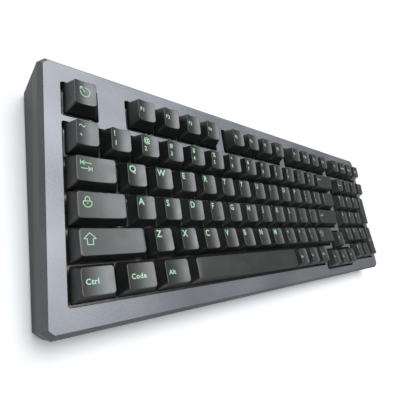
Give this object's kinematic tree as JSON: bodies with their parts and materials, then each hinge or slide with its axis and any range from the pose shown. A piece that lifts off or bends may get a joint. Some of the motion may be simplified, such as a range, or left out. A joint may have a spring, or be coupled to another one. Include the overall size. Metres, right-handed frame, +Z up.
{
  "type": "mechanical keyboard",
  "caption": "Metal-cased mechanical keyboard with a tilted deck, sculpted keys on sprung switches, a number pad set close to the main block and a stepped opening round the arrow keys.",
  "frame": {"origin": "on the desk, under the middle of the case", "axes": "+X to the typist's right along the rows, +Y to the rear, +Z up"},
  "size_m": [0.3948, 0.1495, 0.0449],
  "materials": {
    "anodised_case": "bead-blasted and anodised blue grey",
    "anodised_base": "bead-blasted and anodised dark grey",
    "brass_plate": "brushed",
    "keycap_plastic": "fine satin grain, nearly black",
    "legend_plastic": "mint green, second shot of the moulding",
    "milky_nylon": "translucent milky white",
    "circuit_board": "dark solder mask",
    "black_epoxy": "moulded black",
    "steel": "plated",
    "foam": "open-cell, dark grey",
    "rubber": "moulded"
  },
  "bodies": {
    "case": {"top_case": "anodised_case", "bottom_case": "anodised_base", "switch_plate": "brass_plate", "circuit_board": "circuit_board", "controller_chips": "black_epoxy", "usb_socket": "steel", "usb_daughterboard": "circuit_board", "board_lead": "black_epoxy", "gasket_strips": "foam", "case_foam": "foam", "case_screws": "steel", "rubber_feet": "rubber", "switch_lower_housings": "milky_nylon", "switch_upper_housings": "milky_nylon", "switch_springs": "steel", "hot_swap_sockets": "black_epoxy", "stabiliser_housings": "milky_nylon"},
    "key_escape": {"key_escape": "keycap_plastic"},
    "keys_f1_to_f4": {"keys_f1_to_f4": "keycap_plastic"},
    "keys_f5_to_f8": {"keys_f5_to_f8": "keycap_plastic"},
    "keys_f9_to_f12": {"keys_f9_to_f12": "keycap_plastic"},
    "keys_page_block": {"keys_page_block": "keycap_plastic"},
    "keys_grave_to_6": {"keys_grave_to_6": "keycap_plastic"},
    "keys_7_to_equals": {"keys_7_to_equals": "keycap_plastic"},
    "key_backspace": {"key_backspace": "keycap_plastic"},
    "keys_numpad_operators": {"keys_numpad_operators": "keycap_plastic"},
    "key_tab": {"key_tab": "keycap_plastic"},
    "keys_q_to_t": {"keys_q_to_t": "keycap_plastic"},
    "keys_y_to_bracket": {"keys_y_to_bracket": "keycap_plastic"},
    "key_backslash": {"key_backslash": "keycap_plastic"},
    "keys_numpad_7_to_9": {"keys_numpad_7_to_9": "keycap_plastic"},
    "key_numpad_plus": {"key_numpad_plus": "keycap_plastic"},
    "key_caps_lock": {"key_caps_lock": "keycap_plastic"},
    "keys_a_to_g": {"keys_a_to_g": "keycap_plastic"},
    "keys_h_to_quote": {"keys_h_to_quote": "keycap_plastic"},
    "key_enter": {"key_enter": "keycap_plastic"},
    "keys_numpad_4_to_6": {"keys_numpad_4_to_6": "keycap_plastic"},
    "key_left_shift": {"key_left_shift": "keycap_plastic"},
    "keys_z_to_b": {"keys_z_to_b": "keycap_plastic"},
    "keys_n_to_slash": {"keys_n_to_slash": "keycap_plastic"},
    "key_right_shift": {"key_right_shift": "keycap_plastic"},
    "key_arrow_up": {"key_arrow_up": "keycap_plastic"},
    "keys_numpad_1_to_3": {"keys_numpad_1_to_3": "keycap_plastic"},
    "key_numpad_enter": {"key_numpad_enter": "keycap_plastic"},
    "key_left_control": {"key_left_control": "keycap_plastic"},
    "key_code": {"key_code": "keycap_plastic"},
    "key_left_alt": {"key_left_alt": "keycap_plastic"},
    "key_space": {"key_space": "keycap_plastic"},
    "keys_right_modifiers": {"keys_right_modifiers": "keycap_plastic"},
    "key_arrow_left": {"key_arrow_left": "keycap_plastic"},
    "key_arrow_down": {"key_arrow_down": "keycap_plastic"},
    "key_arrow_right": {"key_arrow_right": "keycap_plastic"},
    "key_numpad_0": {"key_numpad_0": "keycap_plastic"},
    "key_numpad_dot": {"key_numpad_dot": "keycap_plastic"},
    "wire_backspace": {"wire_backspace": "steel"},
    "wire_enter": {"wire_enter": "steel"},
    "wire_left_shift": {"wire_left_shift": "steel"},
    "wire_numpad_plus": {"wire_numpad_plus": "steel"},
    "wire_numpad_enter": {"wire_numpad_enter": "steel"},
    "wire_space": {"wire_space": "steel"}
  },
  "joints": [
    {"name": "press_escape", "type": "slide", "parent": "case", "child": "key_escape", "axis": [0, 0.1045, -0.9945], "range_m": [0, 0.004], "stiffness_N_per_m": 110, "springref_m": -0.0027},
    {"name": "press_f1_to_f4", "type": "slide", "parent": "case", "child": "keys_f1_to_f4", "axis": [0, 0.1045, -0.9945], "range_m": [0, 0.004], "stiffness_N_per_m": 440, "springref_m": -0.0027},
    {"name": "press_f5_to_f8", "type": "slide", "parent": "case", "child": "keys_f5_to_f8", "axis": [0, 0.1045, -0.9945], "range_m": [0, 0.004], "stiffness_N_per_m": 440, "springref_m": -0.0027},
    {"name": "press_f9_to_f12", "type": "slide", "parent": "case", "child": "keys_f9_to_f12", "axis": [0, 0.1045, -0.9945], "range_m": [0, 0.004], "stiffness_N_per_m": 440, "springref_m": -0.0027},
    {"name": "press_page_block", "type": "slide", "parent": "case", "child": "keys_page_block", "axis": [0, 0.1045, -0.9945], "range_m": [0, 0.004], "stiffness_N_per_m": 440, "springref_m": -0.0027},
    {"name": "press_grave_to_6", "type": "slide", "parent": "case", "child": "keys_grave_to_6", "axis": [0, 0.1045, -0.9945], "range_m": [0, 0.004], "stiffness_N_per_m": 770, "springref_m": -0.0027},
    {"name": "press_7_to_equals", "type": "slide", "parent": "case", "child": "keys_7_to_equals", "axis": [0, 0.1045, -0.9945], "range_m": [0, 0.004], "stiffness_N_per_m": 660, "springref_m": -0.0027},
    {"name": "press_backspace", "type": "slide", "parent": "case", "child": "key_backspace", "axis": [0, 0.1045, -0.9945], "range_m": [0, 0.004], "stiffness_N_per_m": 110, "springref_m": -0.0027},
    {"name": "press_numpad_operators", "type": "slide", "parent": "case", "child": "keys_numpad_operators", "axis": [0, 0.1045, -0.9945], "range_m": [0, 0.004], "stiffness_N_per_m": 440, "springref_m": -0.0027},
    {"name": "press_tab", "type": "slide", "parent": "case", "child": "key_tab", "axis": [0, 0.1045, -0.9945], "range_m": [0, 0.004], "stiffness_N_per_m": 110, "springref_m": -0.0027},
    {"name": "press_q_to_t", "type": "slide", "parent": "case", "child": "keys_q_to_t", "axis": [0, 0.1045, -0.9945], "range_m": [0, 0.004], "stiffness_N_per_m": 550, "springref_m": -0.0027},
    {"name": "press_y_to_bracket", "type": "slide", "parent": "case", "child": "keys_y_to_bracket", "axis": [0, 0.1045, -0.9945], "range_m": [0, 0.004], "stiffness_N_per_m": 770, "springref_m": -0.0027},
    {"name": "press_backslash", "type": "slide", "parent": "case", "child": "key_backslash", "axis": [0, 0.1045, -0.9945], "range_m": [0, 0.004], "stiffness_N_per_m": 110, "springref_m": -0.0027},
    {"name": "press_numpad_7_to_9", "type": "slide", "parent": "case", "child": "keys_numpad_7_to_9", "axis": [0, 0.1045, -0.9945], "range_m": [0, 0.004], "stiffness_N_per_m": 330, "springref_m": -0.0027},
    {"name": "press_numpad_plus", "type": "slide", "parent": "case", "child": "key_numpad_plus", "axis": [0, 0.1045, -0.9945], "range_m": [0, 0.004], "stiffness_N_per_m": 110, "springref_m": -0.0027},
    {"name": "press_caps_lock", "type": "slide", "parent": "case", "child": "key_caps_lock", "axis": [0, 0.1045, -0.9945], "range_m": [0, 0.004], "stiffness_N_per_m": 110, "springref_m": -0.0027},
    {"name": "press_a_to_g", "type": "slide", "parent": "case", "child": "keys_a_to_g", "axis": [0, 0.1045, -0.9945], "range_m": [0, 0.004], "stiffness_N_per_m": 550, "springref_m": -0.0027},
    {"name": "press_h_to_quote", "type": "slide", "parent": "case", "child": "keys_h_to_quote", "axis": [0, 0.1045, -0.9945], "range_m": [0, 0.004], "stiffness_N_per_m": 660, "springref_m": -0.0027},
    {"name": "press_enter", "type": "slide", "parent": "case", "child": "key_enter", "axis": [0, 0.1045, -0.9945], "range_m": [0, 0.004], "stiffness_N_per_m": 110, "springref_m": -0.0027},
    {"name": "press_numpad_4_to_6", "type": "slide", "parent": "case", "child": "keys_numpad_4_to_6", "axis": [0, 0.1045, -0.9945], "range_m": [0, 0.004], "stiffness_N_per_m": 330, "springref_m": -0.0027},
    {"name": "press_left_shift", "type": "slide", "parent": "case", "child": "key_left_shift", "axis": [0, 0.1045, -0.9945], "range_m": [0, 0.004], "stiffness_N_per_m": 110, "springref_m": -0.0027},
    {"name": "press_z_to_b", "type": "slide", "parent": "case", "child": "keys_z_to_b", "axis": [0, 0.1045, -0.9945], "range_m": [0, 0.004], "stiffness_N_per_m": 550, "springref_m": -0.0027},
    {"name": "press_n_to_slash", "type": "slide", "parent": "case", "child": "keys_n_to_slash", "axis": [0, 0.1045, -0.9945], "range_m": [0, 0.004], "stiffness_N_per_m": 550, "springref_m": -0.0027},
    {"name": "press_right_shift", "type": "slide", "parent": "case", "child": "key_right_shift", "axis": [0, 0.1045, -0.9945], "range_m": [0, 0.004], "stiffness_N_per_m": 110, "springref_m": -0.0027},
    {"name": "press_arrow_up", "type": "slide", "parent": "case", "child": "key_arrow_up", "axis": [0, 0.1045, -0.9945], "range_m": [0, 0.004], "stiffness_N_per_m": 110, "springref_m": -0.0027},
    {"name": "press_numpad_1_to_3", "type": "slide", "parent": "case", "child": "keys_numpad_1_to_3", "axis": [0, 0.1045, -0.9945], "range_m": [0, 0.004], "stiffness_N_per_m": 330, "springref_m": -0.0027},
    {"name": "press_numpad_enter", "type": "slide", "parent": "case", "child": "key_numpad_enter", "axis": [0, 0.1045, -0.9945], "range_m": [0, 0.004], "stiffness_N_per_m": 110, "springref_m": -0.0027},
    {"name": "press_left_control", "type": "slide", "parent": "case", "child": "key_left_control", "axis": [0, 0.1045, -0.9945], "range_m": [0, 0.004], "stiffness_N_per_m": 110, "springref_m": -0.0027},
    {"name": "press_code", "type": "slide", "parent": "case", "child": "key_code", "axis": [0, 0.1045, -0.9945], "range_m": [0, 0.004], "stiffness_N_per_m": 110, "springref_m": -0.0027},
    {"name": "press_left_alt", "type": "slide", "parent": "case", "child": "key_left_alt", "axis": [0, 0.1045, -0.9945], "range_m": [0, 0.004], "stiffness_N_per_m": 110, "springref_m": -0.0027},
    {"name": "press_space", "type": "slide", "parent": "case", "child": "key_space", "axis": [0, 0.1045, -0.9945], "range_m": [0, 0.004], "stiffness_N_per_m": 110, "springref_m": -0.0027},
    {"name": "press_right_modifiers", "type": "slide", "parent": "case", "child": "keys_right_modifiers", "axis": [0, 0.1045, -0.9945], "range_m": [0, 0.004], "stiffness_N_per_m": 330, "springref_m": -0.0027},
    {"name": "press_arrow_left", "type": "slide", "parent": "case", "child": "key_arrow_left", "axis": [0, 0.1045, -0.9945], "range_m": [0, 0.004], "stiffness_N_per_m": 110, "springref_m": -0.0027},
    {"name": "press_arrow_down", "type": "slide", "parent": "case", "child": "key_arrow_down", "axis": [0, 0.1045, -0.9945], "range_m": [0, 0.004], "stiffness_N_per_m": 110, "springref_m": -0.0027},
    {"name": "press_arrow_right", "type": "slide", "parent": "case", "child": "key_arrow_right", "axis": [0, 0.1045, -0.9945], "range_m": [0, 0.004], "stiffness_N_per_m": 110, "springref_m": -0.0027},
    {"name": "press_numpad_0", "type": "slide", "parent": "case", "child": "key_numpad_0", "axis": [0, 0.1045, -0.9945], "range_m": [0, 0.004], "stiffness_N_per_m": 110, "springref_m": -0.0027},
    {"name": "press_numpad_dot", "type": "slide", "parent": "case", "child": "key_numpad_dot", "axis": [0, 0.1045, -0.9945], "range_m": [0, 0.004], "stiffness_N_per_m": 110, "springref_m": -0.0027},
    {"name": "rock_wire_backspace", "type": "hinge", "parent": "case", "child": "wire_backspace", "pos_m": [0.08096, 0.01603, 0.0215], "axis": [-1, 0, 0], "range_deg": [0, 24.8]},
    {"name": "rock_wire_enter", "type": "hinge", "parent": "case", "child": "wire_enter", "pos_m": [0.07858, -0.02186, 0.01752], "axis": [-1, 0, 0], "range_deg": [0, 24.8]},
    {"name": "rock_wire_left_shift", "type": "hinge", "parent": "case", "child": "wire_left_shift", "pos_m": [-0.16431, -0.04081, 0.01553], "axis": [-1, 0, 0], "range_deg": [0, 24.8]},
    {"name": "rock_wire_numpad_plus", "type": "hinge", "parent": "case", "child": "wire_numpad_plus", "pos_m": [0.16721, -0.00344, 0.01946], "axis": [0, 0.9945, 0.1045], "range_deg": [0, 24.8]},
    {"name": "rock_wire_numpad_enter", "type": "hinge", "parent": "case", "child": "wire_numpad_enter", "pos_m": [0.16721, -0.04133, 0.01548], "axis": [0, 0.9945, 0.1045], "range_deg": [0, 24.8]},
    {"name": "rock_wire_space", "type": "hinge", "parent": "case", "child": "wire_space", "pos_m": [-0.05477, -0.05975, 0.01354], "axis": [-1, 0, 0], "range_deg": [0, 24.8]}
  ],
  "couplings": [
    {"joint": "rock_wire_backspace", "follows": "press_backspace", "rad_per_m": 106.9},
    {"joint": "rock_wire_enter", "follows": "press_enter", "rad_per_m": 106.9},
    {"joint": "rock_wire_left_shift", "follows": "press_left_shift", "rad_per_m": 106.9},
    {"joint": "rock_wire_numpad_plus", "follows": "press_numpad_plus", "rad_per_m": 106.9},
    {"joint": "rock_wire_numpad_enter", "follows": "press_numpad_enter", "rad_per_m": 106.9},
    {"joint": "rock_wire_space", "follows": "press_space", "rad_per_m": 106.9}
  ]
}
